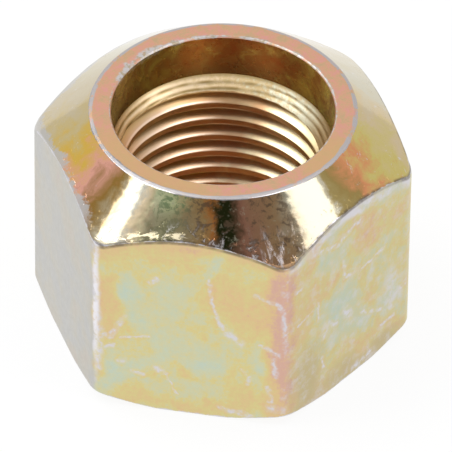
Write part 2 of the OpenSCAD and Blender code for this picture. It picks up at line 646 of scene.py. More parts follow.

# Film colours of the rim, the counterbore's wall, the thread and its lead-in, as linear values; those of the
# wall, the thread and the lead-in hold painted light and shade
RIM_FILM = (
    (0.0, (0.58, 0.41, 0.24)),
    (0.35, (0.67, 0.41, 0.25)),
    (0.65, (0.71, 0.38, 0.26)),
    (1.0, (0.73, 0.36, 0.31)),
)
TAN_RIM = (0.66, 0.43, 0.21)
EDGE_LINE = (0.50, 0.47, 0.47)
# Painted shade on the worn outer edge of the rim, on the left
EDGE_SHADE = (0.32, 0.31, 0.32)
# The wall's film, painted dark as shade inside the bore and lighter at the sides as painted light, and its
# painted shade
WALL_FILM_AND_LIGHT = ((0.0, (0.52, 0.19, 0.06)), (0.5, (0.53, 0.30, 0.095)), (1.0, (0.87, 0.81, 0.24)))
WALL_SHADE = (0.23, 0.19, 0.085)
# The thread's film, lighter and paler to the right as painted light
THREAD_FILM_AND_LIGHT = (
    (0.0, (0.84, 0.63, 0.44)),
    (0.5, (0.82, 0.53, 0.33)),
    (0.75, (1.0, 0.86, 0.56)),
    (1.0, (1.0, 0.95, 0.62)),
)
# Painted shade deep in the thread's flanks
DEEP_FLANK_SHADE = (0.56, 0.38, 0.14)
# Painted highlight on the thread crests' edges
CREST_HIGHLIGHT = (1.0, 0.79, 0.63)
# Painted shade at the far right of the thread and the lead-in
SIDE_SHADE = (0.58, 0.44, 0.23)
# The lead-in's film, lighter to the right as painted light
LEAD_IN_FILM_AND_LIGHT = ((0.0, (1.0, 0.79, 0.53)), (0.5, (0.83, 0.62, 0.32)), (1.0, (1.0, 1.0, 0.80)))
# Painted shade in the lead-in's grooves and at its top
GROOVE_SHADE = (0.38, 0.26, 0.10)
# Painted shade at the thread's back, more high up, and high up on its left
THREAD_SHADE = (0.50, 0.27, 0.115)

# Numbers of the flats that the photograph shows
LEFT_FLAT, FRONT_FLAT, RIGHT_FLAT = 3, 4, 5

# Soft patches of the film on each flat: the middle along it and up it, the half width and half height,
# the film's place among its colours and the patch's strength
FILM_PATCHES = {
    FRONT_FLAT: (
        (-1.2, 9.6, 3.4, 4.2, 0.24, 0.8),
        (-0.9, 6.0, 3.6, 2.6, 0.22, 0.8),
        (-4.3, 10.0, 1.5, 1.9, BLUE, 0.9),
        (1.3, 4.3, 1.9, 1.4, BLUE, 0.8),
        (-5.2, 2.6, 1.4, 1.8, BLUE, 0.8),
        (-4.8, 12.9, 2.0, 1.6, GOLD, 0.7),
        (-5.5, 8.4, 1.1, 4.0, ORANGE, 0.75),
        (-3.7, 5.5, 1.8, 1.6, YELLOW, 0.8),
        (3.6, 12.2, 2.8, 2.0, 0.53, 0.95),
        (3.9, 9.4, 2.3, 3.6, 0.7, 0.9),
        (-3.7, 1.5, 2.4, 1.3, GOLD, 0.85),
        (0.6, 2.3, 3.4, 1.6, 0.26, 0.9),
        (4.0, 2.2, 2.2, 2.4, GOLD, 0.8),
        (6.2, 9.0, 1.9, 17.0, PINK, 1.0),
    ),
    RIGHT_FLAT: (
        (-4.8, 8.0, 1.6, 6.0, GOLD, 0.8),
        (-3.7, 9.6, 1.0, 1.8, ORANGE, 0.6),
        (-0.9, 6.8, 3.0, 3.2, 0.04, 0.9),
        (0.2, 4.4, 2.6, 2.0, GREEN, 0.75),
        (1.3, 11.4, 2.4, 1.5, ORANGE, 0.75),
        (2.4, 8.4, 2.0, 1.8, STRAW, 0.7),
        (4.4, 8.8, 1.6, 3.0, 0.45, 0.7),
        (4.2, 4.6, 1.8, 2.4, GREEN, 0.7),
        (-4.0, 2.2, 2.4, 2.4, GOLD, 0.9),
        (-0.9, 1.9, 2.0, 1.3, 0.58, 0.9),
        (3.0, 1.0, 2.8, 1.3, GOLD, 0.8),
    ),
}

# On the right flat, dull olive patches low down and pale lavender patches: a middle and half sizes
DULL_PATCHES = ((-4.2, 2.4, 2.6, 5.0), (-0.4, 0.6, 3.6, 1.8), (3.4, 0.6, 3.2, 1.6))
HAZE_PATCHES = ((4.4, 4.8, 1.9, 3.2), (1.6, 0.5, 1.8, 0.8), (-2.6, 5.8, 1.0, 0.8), (0.3, 9.2, 0.9, 1.0))

# The corner between the left and the front flat, rubbed bright and with a painted highlight down it: a
# middle and half sizes on the front flat
CORNER_POLISH_AND_HIGHLIGHT = (-6.4, 8.6, 0.42, 8.5)

# Scratches through the film on each flat: a width, and points along and up the flat
SCRATCHES = {
    FRONT_FLAT: (
        (0.11, ((1.2, 12.0), (1.4, 10.0), (1.9, 8.4), (2.5, 7.6))),
        (0.24, ((2.5, 7.6), (3.3, 6.9))),
        (0.14, ((-4.4, 7.9), (-5.4, 5.9), (-6.0, 6.3))),
        (0.09, ((-4.7, 6.0), (-2.8, 6.4))),
        (0.18, ((-2.7, 11.2), (-2.3, 11.7))),
        (0.13, ((-5.7, 4.9), (-5.2, 5.3))),
        (0.18, ((-4.7, 3.9), (-4.4, 4.1))),
        (0.16, ((-3.8, 3.2), (-3.2, 3.0))),
        (0.17, ((-2.3, 3.7), (-1.6, 3.4))),
        (0.08, ((-1.7, 3.4), (-0.9, 1.7))),
        (0.13, ((4.2, 11.2), (5.9, 10.6), (6.2, 9.6), (6.4, 7.3))),
        (0.13, ((4.7, 6.9), (5.9, 6.2))),
        (0.14, ((5.5, 5.8), (5.7, 4.4))),
        (0.14, ((5.2, 3.4), (5.4, 2.1))),
        (0.26, ((5.4, 1.5), (6.1, 1.3))),
        (0.16, ((2.0, 0.9), (4.0, 0.6))),
        (0.11, ((3.5, 4.6), (3.7, 4.1))),
        (0.11, ((4.0, 4.0), (3.8, 3.4))),
        (0.24, ((-6.5, 13.4), (-6.4, 9.2), (-6.1, 5.9), (-6.2, 3.0))),
    ),
    RIGHT_FLAT: (
        (0.16, ((-3.2, 13.2), (-1.3, 12.7), (1.0, 13.5))),
        (0.15, ((-0.8, 10.8), (-0.6, 9.3), (0.1, 9.1))),
        (0.12, ((1.1, 8.9), (3.5, 9.2))),
        (0.11, ((-3.3, 8.9), (-3.3, 7.5))),
        (0.30, ((-0.5, 6.3), (0.0, 5.6))),
        (0.16, ((1.2, 5.0), (3.2, 3.9))),
        (0.28, ((4.2, 3.5), (4.6, 3.4))),
        (0.28, ((5.3, 4.4), (5.7, 4.6))),
        (0.20, ((-2.7, 5.4), (-2.1, 6.0), (-1.4, 5.8))),
        (0.20, ((0.4, 0.5), (2.5, 0.8))),
        (0.14, ((3.3, 2.4), (4.6, 2.4))),
        (0.11, ((-2.8, 3.7), (-2.6, 2.7))),
        (0.08, ((-5.3, 8.2), (-3.9, 8.6))),
        (0.13, ((-5.7, 11.3), (-5.0, 11.2))),
    ),
}

# Soft borders of a patch, in its half sizes, and of a flat and a corner's line, in millimetres
PATCH_BORDER = (1.0, 0.2)
FLAT_BORDER = (FLAT_HALF + 0.9, FLAT_HALF + 0.3)
CORNER_LINE = (0.42, 0.08)

# Noises are a scale, a detail, a roughness and a twist. Spans are two limits and what they become.
SHAKE_DETAIL = 3.0
WEAR_NOISE = (0.8, 6.0, 0.8)
WEAR_BREAKS = (0.34, 0.64, 0.35, 1.15)
# Turns from the front over which the rim's worn outer edge gets painted shade
RIM_EDGE_SHADE_TURNS = (around_front(-4, -52), around_front(-82, -68))


def empty_tree(owner):
    """The emptied node tree of a material or a world."""
    owner.use_nodes = True
    owner.node_tree.nodes.clear()
    return Tree(owner.node_tree)


def put_mix(tree, output, share, first, second):
    """Joins a mix of two shaders to a new output."""
    mix = tree.add("ShaderNodeMixShader", {0: share, 1: first.outputs[0], 2: second.outputs[0]})
    tree.add(output, {"Surface": mix.outputs[0]})


def new_material(name):
    """An empty material with one shader, as a Tree, the shader and the material."""
    material = bpy.data.materials.new(name)
    tree = empty_tree(material)
    shader = tree.add("ShaderNodeBsdfPrincipled", {"Metallic": 1.0})
    tree.add("ShaderNodeOutputMaterial", {"Surface": shader.outputs["BSDF"]})
    return tree, shader, material


def object_place(tree):
    """Places on the nut, in millimetres."""
    source = tree.add("ShaderNodeTexCoord").outputs["Object"]
    return tree.vector("SCALE", source, Scale=1 / MM)


def surface_place(tree):
    """Places on the nut's skin: along the flats, up from the base and down from the seat's edge."""
    return tree.attribute("surface", "Vector")


def shaken(tree, place, skin, scale, amount):
    """Places on the skin, moved a little to and fro by a noise."""
    node = tree.add("ShaderNodeTexNoise", {"Vector": place, "Scale": scale, "Detail": SHAKE_DETAIL})
    centred = tree.vector("SUBTRACT", node.outputs["Color"], (NOISE_MIDDLE,) * 3)
    return tree.vector("ADD", skin, tree.vector("SCALE", centred, Scale=amount))


def stroke_group():
    """A node group that gives how near a place lies to a straight stroke, in the stroke's own widths."""
    group = bpy.data.node_groups.new("stroke", "ShaderNodeTree")
    for name in ("Place", "Start", "Run", "Share"):
        group.interface.new_socket(name, in_out="INPUT", socket_type="NodeSocketVector")
    group.interface.new_socket("Width", in_out="INPUT", socket_type="NodeSocketFloat")
    group.interface.new_socket("Away", in_out="OUTPUT", socket_type="NodeSocketFloat")
    tree = Tree(group)
    given = tree.add("NodeGroupInput").outputs
    offset = tree.vector("SUBTRACT", given["Place"], given["Start"])
    share = tree.math("ADD", tree.vector("DOT_PRODUCT", offset, given["Share"]), 0.0, clamp=True)
    nearest = tree.vector("SCALE", given["Run"], Scale=share)
    away = tree.vector("DISTANCE", offset, nearest)
    output = tree.add("NodeGroupOutput")
    tree.put(output.inputs["Away"], tree.math("DIVIDE", away, given["Width"]))
    return group


def scratch_distance(tree, skin):
    """How far a place lies from the nearest scratch, in that scratch's widths."""
    group = stroke_group()
    level = tree.vector("MULTIPLY", skin, LEVEL)
    distances = []
    for flat, scratches in SCRATCHES.items():
        for width, points in scratches:
            for first, second in zip(points, points[1:]):
                start = Vector((flat * SIDE_LENGTH + first[0], first[1], 0.0))
                run = Vector((second[0] - first[0], second[1] - first[1], 0.0))
                share = run / run.length_squared
                values = {"Place": level, "Start": start, "Run": run, "Share": share, "Width": width}
                distances.append(tree.add("ShaderNodeGroup", values, node_tree=group).outputs["Away"])
    return tree.chain("MINIMUM", distances)


def patch_mask(tree, skin, flat, along, height, half_width, half_height):
    """A soft oval patch on a flat."""
    middle = (flat * SIDE_LENGTH + along, height, 0.0)
    offset = tree.vector("SUBTRACT", tree.vector("MULTIPLY", skin, LEVEL), middle)
    scaled = tree.vector("DIVIDE", offset, (half_width, half_height, 1.0))
    return tree.span(tree.vector("LENGTH", scaled), *PATCH_BORDER)


def flat_mask(tree, skin, flat):
    """One whole flat, up to the middle of its corners."""
    away = tree.math("ABSOLUTE", tree.math("SUBTRACT", tree.part(skin, "X"), flat * SIDE_LENGTH))
    return tree.span(away, *FLAT_BORDER)


def edge_wear(tree, place):
    """How far the film is rubbed off the edges, in broken stretches."""
    return tree.times(tree.attribute("wear", "Fac"), tree.span(tree.noise(place, *WEAR_NOISE), *WEAR_BREAKS))


def corner_mask(tree, skin):
    """Soft lines down the upright corners of the hexagon, which lie half way between two flats."""
    share = tree.math("FRACT", tree.math("DIVIDE", tree.part(skin, "X"), SIDE_LENGTH))
    away = tree.times(tree.math("ABSOLUTE", tree.math("SUBTRACT", share, 0.5)), SIDE_LENGTH)
    return tree.span(away, *CORNER_LINE)


def turn_about(tree, place):
    """Angle round the axis from the front, in radians."""
    sideways = tree.vector("DOT_PRODUCT", place, direction(VIEW_AZIMUTH + QUARTER_TURN, 0.0))
    forward = tree.vector("DOT_PRODUCT", place, direction(VIEW_AZIMUTH, 0.0))
    return tree.math("ARCTAN2", sideways, forward)


def axis_distance(tree, place):
    """Distance from the nut's axis, in millimetres."""
    return tree.vector("LENGTH", tree.vector("MULTIPLY", place, LEVEL))


def rim_edge_colour(tree, turn):
    """Colour of the worn line round the rim's outer edge, with painted shade on the left."""
    return tree.blend(tree.window(turn, *RIM_EDGE_SHADE_TURNS), EDGE_LINE, EDGE_SHADE)


def dress(tree, shader, colour, rough, layers):
    """Joins a colour, a roughness and bumps, each a height and a depth in millimetres, to a shader."""
    tree.put(shader.inputs["Base Color"], colour)
    tree.put(shader.inputs["Roughness"], rough)
    normal = None
    for height, depth in layers:
        values = {"Height": height, "Distance": depth * MM, "Strength": 1.0}
        if normal is not None:
            values["Normal"] = normal
        normal = tree.add("ShaderNodeBump", values).outputs["Normal"]
    tree.put(shader.inputs["Normal"], normal)


# Flats: the film's clouds, mottling, drawn lines and grain
FLAT_CLOUD = (0.3, 4.0, 0.6, 0.5)
FLAT_ORDER = (0.12, 0.82)
FLAT_SHAKE = (0.55, 2.2)
WARM_EDGE = (1.3, 0.2, 0.0, 0.8)
MOTTLE_NOISE = (1.3, 6.0, 0.8)
MOTTLE_SWING = 0.75
GRAIN_NOISE = (3.2, 4.0, 0.7)
GRAIN_SWING = 0.55
DRAWN_STRETCH = (2.6, 0.5, 0.0)
DRAWN_NOISE = (1.0, 4.0, 0.65)
DRAWN_SWING = 0.3
LEFT_FILM = (0.35, 0.65, 0.96, 0.8)
DULL_STRENGTH = 0.75
RIGHT_FLAT_DARKENING = 0.1

# Flats: scratches, rubbed edges, haze, corners with the rubbed corner's painted highlight, and a darker band
# below the seat's edge
SCRATCH_SHAKE = (1.9, 0.6)
SCRATCH_FRINGE = (3.0, 1.0, 0.0, 0.2)
SCRATCH_CORE = (2.0, 0.0)
SCRATCH_BREAKS = (0.38, 0.6, 0.15, 0.95)
CRUMB_NOISE = (2.4, 4.0, 0.65)
CRUMB_DEPTH = 0.004
RUB_NOISE = (0.9, 5.0, 0.7)
PALE_EDGE = (1.3, 0.5)
PALE_BREAKS = (0.4, 0.56, 0.4, 0.95)
HAZE_NOISE = (1.2, 5.0, 0.7)
HAZE_SPECKS = (0.44, 0.72, 0.0, 0.5)
HAZE_BREAKS = (0.38, 0.6, 0.1, 0.75)
CORNER_SHAKE = (0.9, 0.5)
CORNER_BREAKS = (0.5, 0.64, 0.0, 0.5)
FLAT_WEAR = (0.35, 0.8)
UNDER_SEAT_WIDTH = (0.3, 0.08)
UNDER_SEAT_BREAKS = (0.36, 0.6, 0.35, 0.8)
POLISH_SHAKE = (0.9, 0.7)
POLISH_BREAKS = (0.4, 0.56, 0.25, 0.95)
FLAT_ROUGH = (0.32, 0.44)


def flats_material():
    """The hexagon's flats: a pale iridescent film, mottled, with soft patches, scratches and worn edges."""
    tree, shader, material = new_material("hex_flats")
    place, skin = object_place(tree), surface_place(tree)
    front_flat, right_flat = flat_mask(tree, skin, FRONT_FLAT), flat_mask(tree, skin, RIGHT_FLAT)
    cloud = tree.noise(place, *FLAT_CLOUD)
    order = tree.span(cloud, *NOISE_RANGE, *FLAT_ORDER)
    wavy = shaken(tree, place, skin, *FLAT_SHAKE)
    for flat, patches in FILM_PATCHES.items():
        for *oval, film, strength in patches:
            order = tree.mix(tree.times(patch_mask(tree, wavy, flat, *oval), strength), order, film)
    drop = tree.part(wavy, "Z")
    order = tree.mix(tree.times(tree.span(drop, *WARM_EDGE), front_flat), order, ORANGE)
    drawn = tree.noise(tree.vector("MULTIPLY", skin, DRAWN_STRETCH), *DRAWN_NOISE)
    mottle, grain = tree.noise(place, *MOTTLE_NOISE), tree.noise(place, *GRAIN_NOISE)
    for noise, swing in ((mottle, MOTTLE_SWING), (grain, GRAIN_SWING), (drawn, DRAWN_SWING)):
        order = tree.math("MULTIPLY_ADD", tree.swing(noise), swing, order)
    away = scratch_distance(tree, shaken(tree, place, skin, *SCRATCH_SHAKE))
    order = tree.mix(tree.span(away, *SCRATCH_FRINGE), order, PINK)

    # The film's colour, silvery on the left flat and duller on the right one, with the whole right flat a
    # little darker
    colour = tree.ramp(order, FILM)
    silver = tree.times(flat_mask(tree, wavy, LEFT_FLAT), tree.span(cloud, *LEFT_FILM))
    colour = tree.blend(silver, colour, SILVER)
    for oval in DULL_PATCHES:
        dull = tree.times(patch_mask(tree, wavy, RIGHT_FLAT, *oval), DULL_STRENGTH)
        colour = tree.blend(dull, colour, DULL)
    colour = tree.blend(tree.times(right_flat, RIGHT_FLAT_DARKENING), colour, DARK_BROWN_GREY)

    # Bare zinc in scratches, along edges and corners and in a haze on the right flat
    crumbs = tree.noise(place, *CRUMB_NOISE)
    scratched = tree.times(tree.span(away, *SCRATCH_CORE), tree.span(crumbs, *SCRATCH_BREAKS))
    rubbed = tree.noise(place, *RUB_NOISE)
    pale_edge = tree.times(tree.span(drop, *PALE_EDGE), right_flat, tree.span(rubbed, *PALE_BREAKS))
    specks = tree.noise(place, *HAZE_NOISE)
    haze = tree.times(tree.span(specks, *HAZE_SPECKS), right_flat)
    for oval in HAZE_PATCHES:
        pale = tree.times(patch_mask(tree, wavy, RIGHT_FLAT, *oval), tree.span(specks, *HAZE_BREAKS))
        haze = tree.most(haze, pale)
    corners = corner_mask(tree, shaken(tree, place, skin, *CORNER_SHAKE))
    corners = tree.times(corners, tree.span(rubbed, *CORNER_BREAKS))
    # A darker broken band just below the seat's edge on the front and right flats, where the edge shows no
    # worn zinc
    under_seat_band = tree.math("ADD", front_flat, right_flat, clamp=True)
    under_seat_band = tree.times(under_seat_band, tree.span(tree.part(skin, "Z"), *UNDER_SEAT_WIDTH))
    worn = tree.span(edge_wear(tree, place), *FLAT_WEAR)
    worn = tree.times(worn, tree.math("SUBTRACT", 1.0, under_seat_band))
    colour = tree.blend(tree.most(scratched, pale_edge, haze, corners, worn), colour, BARE_ZINC)
    colour = tree.blend(tree.times(under_seat_band, tree.span(rubbed, *UNDER_SEAT_BREAKS)), colour, DARK_BROWN_GREY)
    # The corner between the left and front flats: rubbed, with a painted highlight down it
    polish_and_highlight = patch_mask(tree, shaken(tree, place, skin, *POLISH_SHAKE), FRONT_FLAT, *CORNER_POLISH_AND_HIGHLIGHT)
    polish_and_highlight = tree.times(polish_and_highlight, tree.span(rubbed, *POLISH_BREAKS))
    colour = tree.blend(polish_and_highlight, colour, POLISH_AND_HIGHLIGHT)
    dress(tree, shader, colour, tree.span(crumbs, *NOISE_RANGE, *FLAT_ROUGH), [(crumbs, CRUMB_DEPTH)])
    return material


# Colours round the seat cone: degrees from the front and colour. Besides the film's own colours they hold
# painted reflection: they follow the light and dark that the cone reflects round the nut, and the near-black
# stretch in front is a painted dark reflection.
SEAT_FILM_AND_REFLECTIONS = (
    (-180, (0.62, 0.52, 0.28)),
    (-140, (0.62, 0.56, 0.38)),
    (-104, (0.60, 0.52, 0.37)),
    (-84, (0.62, 0.49, 0.22)),
    (-72, (0.70, 0.46, 0.08)),
    (-58, (0.78, 0.39, 0.30)),
    (-46, (0.28, 0.16, 0.03)),
    (-40, (0.49, 0.43, 0.30)),
    (-35, (0.56, 0.54, 0.46)),
    (-32, (0.82, 0.66, 0.43)),
    (-29, (0.88, 0.72, 0.45)),
    (-26, (0.98, 1.0, 0.62)),
    (-19, (0.86, 0.93, 0.50)),
    (-12, (0.62, 0.43, 0.20)),
    (-8, (0.51, 0.32, 0.13)),
    (-6, (0.66, 0.26, 0.07)),
    (-4, (0.40, 0.17, 0.05)),
    (-2, (0.03, 0.034, 0.01)),
    (3, (0.03, 0.034, 0.01)),
    (9, (0.46, 0.22, 0.14)),
    (22, (0.51, 0.32, 0.16)),
    (29, (0.60, 0.54, 0.40)),
    (42, (0.60, 0.55, 0.42)),
    (45, (0.38, 0.29, 0.115)),
    (50, (0.34, 0.24, 0.08)),
    (62, (0.68, 0.29, 0.135)),
    (76, (0.61, 0.51, 0.17)),
    (94, (0.64, 0.51, 0.31)),
    (112, (0.60, 0.56, 0.43)),
    (150, (0.62, 0.50, 0.26)),
    (180, (0.62, 0.52, 0.28)),
)
FULL_TURN = 360

# Seat: the film's unevenness and the marks in front. A drop is the depth below the seat's lower edge.
SEAT_CLOUD = (0.5, 5.0, 0.65, 0.5)
SEAT_BESIDE = around_front(46, 60)
SEAT_UNEVEN = (0.055, 0.16)
SEAT_LOW = (-1.8, -0.3)
SEAT_FRONT = around_front(32, 22)
MARK_NOISE = (1.5, 6.0, 0.75, 0.6)
STAIN_NOISE = (1.5, 5.0, 0.7, 0.3)
STAIN_SPAN = (0.5, 0.61, 0.0, 0.8)
GREEN_SIDE = around_front(-10, -16)
GREEN_SHIFT = 0.05
BROWN_TURNS = (around_front(-31, -25), around_front(-7, -13))
BROWN_DROP = (-2.8, -1.4, 0.0, 0.65)
BLEACH_SPAN = (0.42, 0.28, 0.0, 0.7)
SMEAR_STRETCH = (1.6, 0.0, 0.55)
SMEAR_NOISE = (1.0, 5.0, 0.7, 0.4)
SMEAR_SPAN = (0.5, 0.66)
SMEAR_TURN = around_front(8, 17)
SMEAR_DROP = (-3.2, -1.2)
SCUFF_SPAN = (0.54, 0.66)
SCUFF_STRENGTH = 0.7
SCUFF_ROUGH = 0.34
SPECK_SPAN = (0.6, 0.7, 0.0, 0.6)

# Seat: nicks with painted glints, wear, the frayed film on the left, a darker line along the lower edge and
# the surface's waves and dents
NICK_STRETCH = (0.8, 0.0, 2.4)
NICK_NOISE = (1.0, 4.0, 0.6)
NICK_SPAN = (0.46, 0.56)
NICK_DROPS = ((-0.85, -0.5), (-0.12, -0.24))
NICK_TURNS = (around_front(-43, -36), around_front(-6, -14))
SEAT_AT_RIM = (RIM_RADIUS + 0.35, RIM_RADIUS + 0.2)
SEAT_WEAR = (0.45, 0.8)
FRAY_TURN = around_front(-42, -52)
FRAY_NOISE = (0.7, 5.0, 0.7)
FRAY_SWING = 3.2
FRAY_MARKS = 1.4
FRAY_SHIFT = (*around_front(-76, -90), -0.7, -0.5)
FRAY_SPAN = (1.05, 1.45, 0.0, 0.85)
LOW_EDGE_DARK_NOISE = (1.1, 4.0, 0.65)
LOW_EDGE_DARK_SPAN = (0.36, 0.6, 0.15, 0.8)
LOW_EDGE_DARK_DROP = (-0.26, -0.05)
LOW_EDGE_DARK_TURN = around_front(-47, -38)
SEAT_FINE = (2.6, 4.0, 0.6)
SEAT_FINE_DEPTH = 0.0015
SEAT_ROUGH = (0.06, 0.1)
WAVE_NOISE = (0.6, 2.0, 0.5)
WAVE_DEPTH = 0.02
DENT_NOISE = (2.2, 3.0, 0.6, 0.8)
DENT_SPAN = (0.6, 0.72)
DENT_DEPTH = 0.012


def seat_material():
    """The seat cone: a smooth turned face whose colour changes round the nut, partly as its film and partly
    as painted reflection.
    """
    tree, shader, material = new_material("seat_cone")
    place, skin = object_place(tree), surface_place(tree)
    turn, drop = turn_about(tree, place), tree.part(skin, "Z")
    aside = tree.math("ABSOLUTE", turn)
    beside = tree.span(aside, *SEAT_BESIDE)
    uneven = tree.times(tree.swing(tree.noise(place, *SEAT_CLOUD)), tree.mix(beside, *SEAT_UNEVEN))
    # Colour round the nut: the film with painted reflection, near-black in front
    share = tree.math("ADD", tree.math("MULTIPLY_ADD", turn, 0.5 / math.pi, third=0.5), uneven)
    colour = tree.ramp(share, [(angle / FULL_TURN + 0.5, film) for angle, film in SEAT_FILM_AND_REFLECTIONS])
    low = tree.span(drop, *SEAT_LOW)

    # Dull marks in front, where the seat has been handled
    front = tree.span(aside, *SEAT_FRONT)
    marks, stains = tree.noise(place, *MARK_NOISE), tree.noise(place, *STAIN_NOISE)
    green_side = tree.span(turn, *GREEN_SIDE)
    stained = tree.math("MULTIPLY_ADD", green_side, GREEN_SHIFT, stains)
    smudged = tree.times(front, tree.span(stained, *STAIN_SPAN))
    colour = tree.blend(smudged, colour, tree.blend(green_side, DARK_FILM, GREEN_STAIN))
    browned = tree.times(tree.window(turn, *BROWN_TURNS), tree.span(drop, *BROWN_DROP))
    colour = tree.blend(browned, colour, BROWN_FILM)
    bleached = tree.times(front, tree.span(stains, *BLEACH_SPAN))
    colour = tree.blend(bleached, colour, PALE_FILM)
    smears = tree.noise(tree.vector("MULTIPLY", skin, SMEAR_STRETCH), *SMEAR_NOISE)
    smeared = tree.times(tree.span(turn, *SMEAR_TURN), tree.span(drop, *SMEAR_DROP), front)
    smeared = tree.times(smeared, tree.span(smears, *SMEAR_SPAN))
    scuffs = tree.most(tree.times(tree.span(marks, *SCUFF_SPAN), front, low), smeared)
    colour = tree.blend(tree.times(scuffs, SCUFF_STRENGTH), colour, BARE_ZINC)
    specks = tree.times(beside, tree.span(marks, *SPECK_SPAN))
    colour = tree.blend(specks, colour, BARE_ZINC)

    # Nicks in a line above the lower edge, left of the middle: rougher, and painted a bright cream as
    # painted glints
    nicks = tree.noise(tree.vector("MULTIPLY", skin, NICK_STRETCH), *NICK_NOISE)
    glints = tree.times(tree.window(drop, *NICK_DROPS), tree.window(turn, *NICK_TURNS))
    glints = tree.times(glints, tree.span(nicks, *NICK_SPAN))
    colour = tree.blend(glints, colour, GLINT)
    scuffs = tree.most(scuffs, glints)

    # Worn edges
    at_rim = tree.span(axis_distance(tree, place), *SEAT_AT_RIM)
    bare = tree.blend(at_rim, BARE_ZINC, rim_edge_colour(tree, turn))
    colour = tree.blend(tree.span(edge_wear(tree, place), *SEAT_WEAR), colour, bare)

    # Film rubbed away along the lower edge on the left
    fray = tree.math("MULTIPLY_ADD", tree.noise(place, *FRAY_NOISE), FRAY_SWING, drop)
    fray = tree.math("ADD", fray, tree.span(turn, *FRAY_SHIFT))
    fray = tree.math("MULTIPLY_ADD", marks, FRAY_MARKS, fray)
    rubbed_off = tree.times(tree.span(turn, *FRAY_TURN), tree.span(fray, *FRAY_SPAN))
    colour = tree.blend(rubbed_off, colour, SILVER)

    # A darker broken line along the lower edge, in front and on the right
    low_edge_dark = tree.times(tree.span(drop, *LOW_EDGE_DARK_DROP), tree.span(tree.noise(place, *LOW_EDGE_DARK_NOISE), *LOW_EDGE_DARK_SPAN))
    low_edge_dark = tree.times(low_edge_dark, tree.span(turn, *LOW_EDGE_DARK_TURN))
    colour = tree.blend(low_edge_dark, colour, DARK_BROWN_GREY)
    fine = tree.noise(place, *SEAT_FINE)
    rough = tree.math("MULTIPLY_ADD", scuffs, SCUFF_ROUGH, tree.span(fine, *NOISE_RANGE, *SEAT_ROUGH))
    waves = tree.noise(place, *WAVE_NOISE)
    dents = tree.times(tree.span(tree.noise(place, *DENT_NOISE), *DENT_SPAN), low)
    layers = [(waves, WAVE_DEPTH), (fine, SEAT_FINE_DEPTH), (dents, DENT_DEPTH)]
    dress(tree, shader, colour, rough, layers)
    return material


# Rim: the film, its tan stretches and its worn edges
RIM_CLOUD = (1.1, 7.0, 0.85, 0.4)
RIM_ORDER = (0.36, 0.64)
TAN_LEFT = (around_front(-84, -62), around_front(4, -16))
TAN_RIGHT = (around_front(34, 48), around_front(78, 64))
TAN_STRENGTH = 0.75
RIM_FINE = (2.4, 5.0, 0.65)
RIM_FINE_DEPTH = 0.005
RIM_BROWN = (0.46, 0.6, 0.0, 0.75)
RIM_OUTER = (RIM_RADIUS - 0.5, RIM_RADIUS - 0.35)
RIM_FRONT = around_front(80, 62)
RIM_BACK_WEAR = (0.4, 0.8)
RIM_FRONT_WEAR = (0.22, 0.6)
RIM_ROUGH = (0.36, 0.48)


def rim_material():
    """The rim: a dull, mottled pink and tan film, rubbed pale along both edges."""
    tree, shader, material = new_material("rim_face")
    place = object_place(tree)
    turn = turn_about(tree, place)
    colour = tree.ramp(tree.span(tree.noise(place, *RIM_CLOUD), *RIM_ORDER), RIM_FILM)
    tanned = tree.most(tree.window(turn, *TAN_LEFT), tree.window(turn, *TAN_RIGHT))
    colour = tree.blend(tree.times(tanned, TAN_STRENGTH), colour, TAN_RIM)
    fine = tree.noise(place, *RIM_FINE)
    mouth = tree.blend(tree.span(fine, *RIM_BROWN), WORN_EDGE, BROWN_FILM)
    outer = tree.span(axis_distance(tree, place), *RIM_OUTER)
    bare = tree.blend(outer, mouth, rim_edge_colour(tree, turn))
    front = tree.span(tree.math("ABSOLUTE", turn), *RIM_FRONT)
    wear = edge_wear(tree, place)
    worn = tree.mix(front, tree.span(wear, *RIM_BACK_WEAR), tree.span(wear, *RIM_FRONT_WEAR))
    colour = tree.blend(worn, colour, bare)
    dress(tree, shader, colour, tree.span(fine, *NOISE_RANGE, *RIM_ROUGH), [(fine, RIM_FINE_DEPTH)])
    return material


# Counterbore's wall: the film with painted light at the sides, its painted shade at the back, lower down,
# and on the left, and its worn edge
WALL_CLOUD = (0.45, 5.0, 0.65, 0.6)
WALL_SWING = 2.4
WALL_SHIFT = -0.95
WALL_SIDES = 0.55
WALL_SHADE_HEIGHT = (NUT_HEIGHT - 1.2, COUNTERBORE_FLOOR)
WALL_SHADE_BACK = (0.8, 0.2, 0.0, 0.6)
WALL_SHADE_LEFT = (-0.2, -0.8, 0.0, 0.6)
WALL_WEAR = (0.4, 0.7)
WALL_FINE = (1.2, 3.0, 0.5)
WALL_FINE_DEPTH = 0.002
WALL_ROUGH = (0.24, 0.3)


